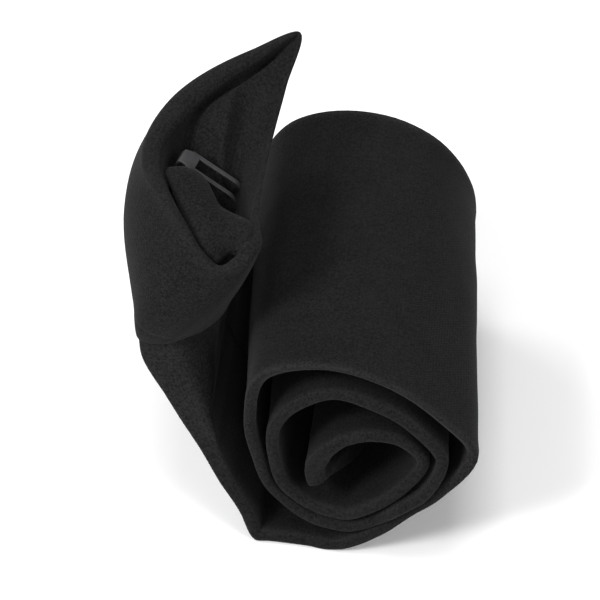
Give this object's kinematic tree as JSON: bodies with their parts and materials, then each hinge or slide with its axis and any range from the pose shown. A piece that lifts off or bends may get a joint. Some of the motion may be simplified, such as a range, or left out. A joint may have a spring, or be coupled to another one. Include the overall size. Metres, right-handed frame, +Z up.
{
  "type": "clip-on tie",
  "caption": "Clip-on necktie with a ready-made hollow knot and a two-tine clip, its padded blade rolled up from the tip towards the knot.",
  "frame": {"origin": "middle of the footprint, on the surface that the roll lies on", "axes": "+Z up; Y along the roll's axis with the open end towards -Y; the knot stands on the -X side"},
  "size_m": [0.0756, 0.0846, 0.0749],
  "materials": {
    "tie_cloth": "matte black plain-woven cloth with a fine grain",
    "clip_metal": "dark grey satin"
  },
  "bodies": {
    "root": {"blade": "tie_cloth", "knot": "tie_cloth", "knot_tuck": "tie_cloth", "clip_fork": "clip_metal"}
  },
  "joints": []
}
